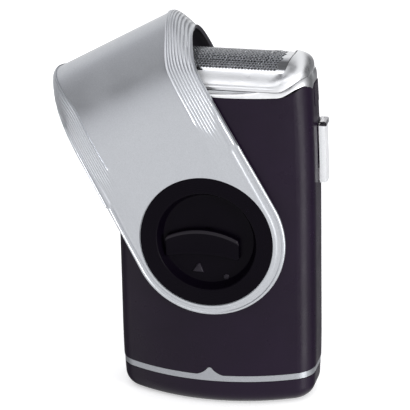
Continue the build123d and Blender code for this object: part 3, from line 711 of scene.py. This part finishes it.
# ---- pivot disc and switch ---------------------------------------------------------------------
DISC_R = 19.95
BOWL_FLOOR = -13.3
FLOOR_BACK = -12.3
SLOT_HALF = 1.6
SLOT_LOW = 49.8
SLOT_HIGH = 56.6
LATHE_STEPS = 160
BAR_X = -1.6                 # middle of the switch bar
BAR_HALF = 11.1
BAR_ROUND = 0.6              # length of its rounded ends
BAR_TOP = 56.2
BAR_TOP_R = 24.0
BAR_LOW = 48.5
BAR_LOW_R = 47.5
BAR_FRONT = -15.06


def lathe(profile):
    """Rings of points about the pivot axis from a profile of (radius, Y)."""
    angle = np.linspace(0, 2 * math.pi, LATHE_STEPS, endpoint=False)
    rings = []
    for radius, y in profile:
        rings.append(np.stack([radius * np.cos(angle), np.full(LATHE_STEPS, y),
                               PIVOT_Z + radius * np.sin(angle)], axis=1))
    return np.array(rings)


def slot_ring(y):
    """Rounded slot outline about the pivot's vertical line, matching the lathe's angles."""
    angle = np.linspace(0, 2 * math.pi, LATHE_STEPS, endpoint=False)
    middle = (SLOT_LOW + SLOT_HIGH) / 2
    straight = (SLOT_HIGH - SLOT_LOW) / 2 - SLOT_HALF
    sin = np.sin(angle)
    x = SLOT_HALF * np.cos(angle)
    z = middle + SLOT_HALF * sin + straight * np.clip(2.5 * sin, -1, 1)
    return np.stack([x, np.full(LATHE_STEPS, y), z], axis=1)


def flange_profile():
    """Flange with fine turned grooves, from its outer edge to the bowl's lip."""
    radii = np.arange(19.5, 15.7, -0.08)
    depth = -16.48 + 0.02 * np.cos(2 * math.pi * radii / 0.56)
    edge = [(DISC_R, -16.27), (DISC_R - 0.02, -16.38), (DISC_R - 0.1, -16.46), (DISC_R - 0.25, -16.5)]
    return edge + list(zip(radii, depth))


def make_disc():
    """Black pivot disc: grooved flange, deep bowl with a rounded lip, and the switch's slot."""
    skin = Skin()
    front = flange_profile() + [
        (15.6, -16.5), (15.35, -16.5), (15.15, -16.45), (15.0, -16.33), (14.92, -16.15),
        (14.6, -15.4), (14.1, -14.3), (13.75, -13.6), (13.62, -13.4), (13.35, -13.32),
        (12.9, BOWL_FLOOR)]
    back = [(DISC_R, -16.27), (17.3, -16.25), (17.3, -15.45), (15.2, -15.45), (15.2, -9.5),
            (14.4, -9.5), (14.4, FLOOR_BACK)]
    shell = lathe(front)
    rear = lathe(back)
    skin.patch(shell, closed=True)
    skin.patch(rear, closed=True)
    inner = slot_ring(BOWL_FLOOR)
    behind = slot_ring(FLOOR_BACK)
    skin.strip(shell[-1], inner, steps=6, closed=True)
    skin.strip(inner, behind, closed=True)
    skin.strip(behind, rear[-1], steps=2, closed=True)
    disc = skin.make("pivot_disc_body", "housing", ["disc_black"], 30)
    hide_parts("pivot_disc")


def bar_heights(offset, shrink):
    """Top and bottom of the switch bar at a distance from its middle, drawn in by some amount."""
    top = BAR_TOP - BAR_TOP_R + math.sqrt((BAR_TOP_R - shrink) ** 2 - offset ** 2)
    low = BAR_LOW - BAR_LOW_R + math.sqrt((BAR_LOW_R + shrink) ** 2 - offset ** 2)
    return top, low


def make_slider():
    """Curved switch bar: a crowned front between rounded upper and lower edges, and its stem."""
    skin = Skin()
    rings = []
    # (distance from the bar's edge, Y) of its rounded edge, from the rear to the front
    profile = [(0.0, -13.35), (0.0, -14.75), (0.06, -15.05), (0.2, -15.25), (0.42, -15.33),
               (1.1, -15.2)]
    for offset in np.linspace(-BAR_HALF, BAR_HALF, 61):
        end = max(0.0, abs(offset) - BAR_HALF + BAR_ROUND) / BAR_ROUND
        shrink = 0.5 * (1 - math.sqrt(max(0.0, 1 - min(end, 1.0) ** 2)))
        x = BAR_X + offset
        top, low = bar_heights(offset, shrink)
        side = [(d, y + 0.6 * shrink * (y < -14)) for d, y in profile]
        line = [(x, y, top - d) for d, y in side]
        line += [(x, BAR_FRONT + 0.3 * shrink, top + (low - top) * f) for f in (0.35, 0.5, 0.65)]
        line += [(x, y, low + d) for d, y in side[::-1]]
        rings.append(line)
    rings = np.array(rings)
    skin.patch(rings[:, :3])
    # The bar's upper rounded edge takes the lighter, glossier black as a painted highlight of the
    # overhead light on the bevel.
    skin.patch(rings[:, 2:6], 1)
    skin.patch(rings[:, 5:])
    skin.strip(rings[:, -1], rings[:, 0])
    for end in (rings[0], rings[-1]):
        half = len(end) // 2 + 1
        skin.strip(end[:half], end[::-1][:half])
    stem = [(-1.3, 50.0), (1.3, 50.0), (1.3, 52.6), (-1.3, 52.6)]
    loops = [[(x, y, z) for x, z in stem] for y in (-13.5, -11.4)]
    skin.patch(loops, closed=True)
    for loop in loops:
        skin.strip([loop[0], loop[1]], [loop[3], loop[2]])
    bar = skin.make("switch_bar", "switch", ["disc_black", "painted_highlight_black"], 40)
    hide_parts("switch_slider")


def low_mound(skin, outline, height):
    """Raised mark on the bowl's floor with sloping sides."""
    outline = np.array(outline, float)
    centre = outline.mean(axis=0)
    rings = []
    for scale, rise in ((1.0, 0.0), (0.86, 0.75), (0.7, 1.0)):
        plan = centre + (outline - centre) * scale
        rings.append([(x, BOWL_FLOOR - height * rise, z) for x, z in plan])
    foot = flat(rings[0], BOWL_FLOOR + 0.05)
    tip = [(centre[0], BOWL_FLOOR - height, centre[1])] * len(outline)
    base = flat(tip, BOWL_FLOOR + 0.05)
    skin.patch(rings, closed=True)
    skin.patch([rings[-1], tip], closed=True)
    skin.patch([foot, rings[0]], closed=True)
    skin.patch([base, foot], closed=True)


def make_marks():
    """Raised triangle and round pip on the bowl's floor, below the switch bar."""
    skin = Skin()
    low_mound(skin, [(-5.3, 42.2), (-1.4, 42.2), (-2.6, 45.2), (-3.4, 45.2)], 0.5)
    angle = np.linspace(0, 2 * math.pi, 24, endpoint=False)
    low_mound(skin, np.stack([5.3 + np.cos(angle), 41.4 + np.sin(angle)], axis=1), 0.45)
    skin.make("disc_marks", "housing", ["mark_grey"], 40)


# ---- foil --------------------------------------------------------------------------------------
FOIL_R = 10.5
FOIL_AXIS_Z = 96.7
FOIL_HALF = 23.9
FOIL_EDGE_Y = 8.5
FOIL_LEG = 1.86              # straight part of the foil below its arch
FOIL_T = 0.09
HOLE_PITCH = 0.95
HOLE_SHARE = 0.7             # a hole's size as a share of its cell
HOLES_HALF = 21.6            # reach of the holed field along the foil at its crest
HOLES_SLANT = 0.28           # how much that reach loses per millimetre of arc
EDGE_MARGIN = 1.15           # plain strip of the arch along each long edge


def foil_point(x, s):
    """Place on the foil for a distance along it and an arc length from its crest."""
    bend = math.asin(FOIL_EDGE_Y / FOIL_R)
    leg = max(0.0, abs(s) / FOIL_R - bend) * FOIL_R
    angle = min(bend, abs(s) / FOIL_R)
    y = math.copysign(FOIL_R * math.sin(angle), s)
    return (x, y, FOIL_AXIS_Z + FOIL_R * math.cos(angle) - leg)


def foil_cells():
    """Points, faces and keys of the plain faces: hexagonal cells, the middle ones with a hole."""
    arc = FOIL_R * math.asin(FOIL_EDGE_Y / FOIL_R)
    reach = arc + FOIL_LEG
    points = []
    index = {}
    faces = {}
    plain = set()

    def corner(x, s):
        x = min(max(x, -FOIL_HALF), FOIL_HALF)
        s = min(max(s, -reach), reach)
        key = (round(x, 3), round(s, 3))
        if key not in index:
            index[key] = len(points)
            points.append(foil_point(x, s))
        return index[key]

    def cell(x, s, radius):
        turns = [math.radians(30 + 60 * k) for k in range(6)]
        return [corner(x + radius * math.cos(a), s + radius * math.sin(a)) for a in turns]

    row_step = HOLE_PITCH * math.sqrt(3) / 2
    radius = HOLE_PITCH / math.sqrt(3)
    rows = int(reach / row_step) + 1
    columns = int(FOIL_HALF / HOLE_PITCH) + 2
    for j in range(-rows, rows + 1):
        s = j * row_step
        for i in range(-columns, columns + 1):
            x = (i + 0.5 * (j % 2)) * HOLE_PITCH
            outer = cell(x, s, radius)
            if abs(x) < HOLES_HALF - HOLES_SLANT * abs(s) and abs(s) < arc - EDGE_MARGIN:
                inner = cell(x, s, radius * HOLE_SHARE)
                for k in range(6):
                    n = (k + 1) % 6
                    face = (outer[k], outer[n], inner[n], inner[k])
                    faces.setdefault(frozenset(face), face)
            elif len(set(outer)) > 2:
                plain.add(frozenset(outer))
                faces.setdefault(frozenset(outer), tuple(dict.fromkeys(outer)))
    return points, faces, plain


def make_foil():
    """Arched foil etched with hexagonal holes, with a plain margin at both ends and both edges."""
    points, faces, plain = foil_cells()
    mesh = bpy.data.meshes.new("foil_sheet")
    mesh.from_pydata([tuple(c * MM for c in p) for p in points], [], list(faces.values()))
    # Holed faces take the darker steel as painted shade of the holed field; the plain margin faces
    # take the lighter steel.
    for polygon, key in zip(mesh.polygons, faces):
        polygon.material_index = int(key in plain)
    work = bmesh.new()
    work.from_mesh(mesh)
    bmesh.ops.dissolve_degenerate(work, edges=work.edges, dist=1e-6)
    flat_faces = [f for f in work.faces if f.calc_area() < 1e-12]
    bmesh.ops.delete(work, geom=flat_faces, context="FACES")
    bmesh.ops.recalc_face_normals(work, faces=work.faces)
    work.to_mesh(mesh)
    work.free()
    mesh.shade_smooth()
    mesh.materials.append(MATERIALS["foil_steel"])
    mesh.materials.append(MATERIALS["foil_margin"])
    foil = bpy.data.objects.new("foil_sheet", mesh)
    SCENE.collection.objects.link(foil)
    thick = foil.modifiers.new("thickness", "SOLIDIFY")
    thick.thickness = FOIL_T * MM
    thick.offset = -1
    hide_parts("foil")
    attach(foil, "foil_unit")


# ---- head --------------------------------------------------------------------------------------
SKIRT_WALL = 0.7
EDGE_GAP = 0.08              # from each edge of a part to the line between two parts
ROOM_HALF = 24.35            # room for the foil and its carrier in the frame
ROOM_Y = 9.1
MOUTH_Y = 8.75
EAR_R = 10.75
EAR_AXIS_Z = 96.95
# Plan of the body at its upper edge: shallow bows in front and behind, joined by round corners.
BODY_INSET = 0.12
CORNER_R = 8.0
CORNER_X = 20.97
FRONT_CORNER_Y = -1.59
REAR_CORNER_Y = 5.16
FRONT_BOW_R = 53.6
FRONT_BOW_Y = 38.9
FRONT_BOW_HALF = 24.65
REAR_BOW_R = 151.3
REAR_BOW_Y = -136.6
UP = np.array([0, 0, 1.0])


def full_ring(front, back=None):
    """Closed ring of plan points from the front right quadrant and the rear right one."""
    t = np.linspace(0, 1, 49)
    first = front(t)
    second = (back(t) if back else front(t) * (1, -1))[::-1][1:]
    right = np.concatenate([first, second])
    left = (right * (-1, 1))[::-1][1:-1]
    return np.concatenate([right, left])


def blend_points(t, keys):
    """Straight runs between (t, x, y) keys."""
    keys = np.array(keys)
    x = np.interp(t, keys[:, 0], keys[:, 1])
    y = np.interp(t, keys[:, 0], keys[:, 2])
    return np.stack([x, y], axis=1)


def frame_outline(t, half_x=28.4, half_y=12.0):
    """Front right quarter of the frame's plan: straight front, full round corner, straight side."""
    straight_x = 17.5
    straight_y = 2.0
    front_end = 0.45
    corner_end = 0.92
    power = 2 / 2.35
    turn = np.clip((t - front_end) / (corner_end - front_end), 0, 1) * math.pi / 2
    x = straight_x + (half_x - straight_x) * np.sin(turn) ** power
    y = -straight_y - (half_y - straight_y) * np.cos(turn) ** power
    x = np.where(t < front_end, straight_x * t / front_end, x)
    y = np.where(t > corner_end, -straight_y * (1 - t) / (1 - corner_end), y)
    return np.stack([x, y], axis=1)


def opening_outline(t):
    """Front right quarter of the frame's opening: its ends slant back to the crest."""
    return blend_points(t, [(0, 0, -MOUTH_Y), (0.45, 19.8, -MOUTH_Y), (0.56, 21.7, -8.6),
                            (0.62, 22.2, -8.1), (0.7, 22.6, -6.9), (0.92, 24.05, -1.6), (1, 24.15, 0)])


def room_outline(t):
    """Front right quarter of the room for the foil under the opening."""
    return blend_points(t, [(0, 0, -ROOM_Y), (0.45, 19.8, -ROOM_Y), (0.66, ROOM_HALF, -ROOM_Y),
                            (0.75, ROOM_HALF, -6.5), (1, ROOM_HALF, 0)])


def body_front(t):
    """Front right quarter of the body's plan at its upper edge."""
    bow_end = 0.6
    corner_end = 0.93
    bow = FRONT_BOW_R - BODY_INSET
    corner_r = CORNER_R - BODY_INSET
    start = math.atan2(-8.7 - FRONT_BOW_Y, FRONT_BOW_HALF)
    turn = np.clip((t - bow_end) / (corner_end - bow_end), 0, 1)
    angle = start * (1 - turn)
    x = CORNER_X + corner_r * np.cos(angle)
    y = FRONT_CORNER_Y + corner_r * np.sin(angle)
    arc = math.asin(FRONT_BOW_HALF / FRONT_BOW_R) * t / bow_end
    x = np.where(t < bow_end, bow * np.sin(arc), x)
    y = np.where(t < bow_end, FRONT_BOW_Y - bow * np.cos(arc), y)
    y = np.where(t > corner_end, FRONT_CORNER_Y + 3.4 * (t - corner_end) / (1 - corner_end), y)
    return np.stack([x, y], axis=1)


def body_back(t):
    """Rear right quarter of the body's plan at its upper edge."""
    bow_end = 0.5
    corner_end = 0.9
    bow = REAR_BOW_R - BODY_INSET
    corner_r = CORNER_R - BODY_INSET
    tangent_x = CORNER_X + CORNER_R * 0.146
    start = math.radians(81.6)
    turn = np.clip((t - bow_end) / (corner_end - bow_end), 0, 1)
    angle = start * (1 - turn)
    x = CORNER_X + corner_r * np.cos(angle)
    y = REAR_CORNER_Y + corner_r * np.sin(angle)
    arc = math.asin(tangent_x / REAR_BOW_R) * t / bow_end
    x = np.where(t < bow_end, bow * np.sin(arc), x)
    y = np.where(t < bow_end, REAR_BOW_Y + bow * np.cos(arc), y)
    y = np.where(t > corner_end, REAR_CORNER_Y - 3.35 * (t - corner_end) / (1 - corner_end), y)
    return np.stack([x, y], axis=1)


def frame_edge(x):
    """Height of the line between frame and skirt: level in front, rising to the sides."""
    return 98.5 + 3.3 * smoothstep(np.abs(x), 20.5, 28.0)


def shell_edge(x, y):
    """Height of the body's upper edge, with a cusp at each corner and the release button's notch."""
    reach = np.abs(x)
    front = 97 - 0.6 * np.minimum(reach, 20.5) / 20.5 + 2.7 * smoothstep(reach, 20.5, 27.2)
    side = 99.1 - 2.1 * smoothstep(y, -6.4, -1.2) + 2.1 * smoothstep(y, 9, 13)
    button = (reach > 26) & (y > -0.1) & (y < 8.1)
    return np.where(button, 98.0, np.minimum(front, side))


def ear_height(y):
    """Height of the ears' arch above the foil."""
    return EAR_AXIS_Z + np.sqrt(EAR_R ** 2 - np.clip(y, -9.5, 9.5) ** 2)


def lifted(plan, z):
    """Plan points at a height."""
    return np.concatenate([plan, np.broadcast_to(z, len(plan))[:, None]], axis=1)


def bezier(p, v):
    """Point on a curve with four control points."""
    return ((1 - v) ** 3 * p[0] + 3 * v * (1 - v) ** 2 * p[1] + 3 * v * v * (1 - v) * p[2]
            + v ** 3 * p[3])


def outward(inner, outer):
    """Plan directions from one ring to the other."""
    way = outer[:, :2] - inner[:, :2]
    return way / np.linalg.norm(way, axis=1, keepdims=True)


def hump(v, middle):
    """Narrow smooth hump about one place on the frame's slope."""
    return math.exp(-((v - middle) / 0.06) ** 2)


def make_frame():
    """Chrome foil frame: sloping front with a crease, full round ears, slanted opening."""
    skin = Skin()
    outer = full_ring(frame_outline)
    mouth = full_ring(opening_outline)
    room = full_ring(room_outline)
    low = frame_edge(outer[:, 0]) + EDGE_GAP
    top = ear_height(mouth[:, 1])
    side = smoothstep(np.abs(outer[:, 0]), 17, 28)[:, None]
    way = np.concatenate([outward(mouth, outer), np.zeros((len(outer), 1))], axis=1)
    start = lifted(outer, low)
    end = lifted(mouth, top)
    controls = [start, start + UP * (1.9 + 0.6 * side) + way * 0.5 * side,
                end + way * (1.3 + 2.1 * side) - UP * (1.5 - 0.9 * side), end]
    rows = []
    for v in np.linspace(0, 1, 29):
        row = bezier(controls, v)
        crease = 0.08 * hump(v, 0.2) - 0.05 * hump(v, 0.12)
        rows.append(row - way * crease * (1 - 0.75 * side) - UP * crease * 0.4 * (1 - side))
    skin.patch(rows, closed=True)
    ceiling = lifted(room, ear_height(room[:, 1]) - 0.35)
    brim = end - UP * 0.3 - way * 0.55 * side
    base = lifted(room, 99.3)
    inside = start - way * 0.9
    step = end - UP * 0.08
    skin.strip(end, step, closed=True)
    # From the lip's step inwards the frame's faces take dark plastic: a painted shade line along the
    # gap between frame and foil.
    lines = [step, brim, ceiling, base, inside, start]
    for first, second in zip(lines, lines[1:]):
        skin.strip(first, second, 1, closed=True)
    frame_piece = skin.make("foil_frame_body", "housing",
                            ["bright_chrome", "inner_plastic"], 48)
    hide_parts("foil_frame")


def ring_normals(ring):
    """Level outward directions of a closed ring that runs anticlockwise seen from above."""
    run = np.roll(ring, -1, axis=0) - np.roll(ring, 1, axis=0)
    normals = np.stack([run[:, 1], -run[:, 0], np.zeros(len(run))], axis=1)
    return normals / np.linalg.norm(normals, axis=1, keepdims=True)


def make_skirt():
    """Chrome skirt between the body's edge and the frame, with a rounded shoulder."""
    skin = Skin()
    top_plan = full_ring(lambda t: frame_outline(t, 28.3, 11.9))
    low_plan = full_ring(body_front, body_back)
    top_z = frame_edge(top_plan[:, 0]) - EDGE_GAP
    low_z = shell_edge(low_plan[:, 0], low_plan[:, 1]) + EDGE_GAP
    low = lifted(low_plan, low_z)
    top = lifted(top_plan, top_z)
    height = (top_z - low_z)[:, None]
    lean = np.concatenate([low_plan - top_plan, np.zeros((len(low), 1))], axis=1)
    controls = [low, low + UP * height * 0.75, top + lean * 0.45 + UP * height * 0.02, top]
    rows = [bezier(controls, v) for v in np.linspace(0, 1, 13)]
    skin.patch(rows, closed=True)
    inner_top = top - ring_normals(top) * SKIRT_WALL
    inner_low = low - ring_normals(low) * SKIRT_WALL
    lines = [top, inner_top, inner_low, low]
    for first, second in zip(lines, lines[1:]):
        skin.strip(first, second, closed=True)
    skirt = skin.make("head_skirt_body", "housing", ["bright_chrome"], 45)
    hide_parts("head_skirt")


# ---- CAD nodes ---------------------------------------------------------------------------------
def dress_nodes():
    """Every CAD node takes the material of its slot."""
    for part in frame["record"]["subparts"]:
        node = frame["nodes"][part["node"]]
        node.data.materials.clear()
        node.data.materials.append(MATERIALS[part["material_slot"]])


def darken_front(name, front):
    """The front end of a trimmer part is darker: its faces before one Y take a second, dark material.
    """
    node = frame["nodes"][name]
    node.data.materials.append(MATERIALS["dark_steel"])
    for face in node.data.polygons:
        if (node.matrix_world @ face.center).y < front * MM:
            face.material_index = 1


dress_nodes()
darken_front("trimmer_comb", 3.0)
darken_front("trimmer_blade", 3.6)
make_twist_cap()
make_disc()
make_slider()
make_marks()
make_foil()
make_frame()
make_skirt()
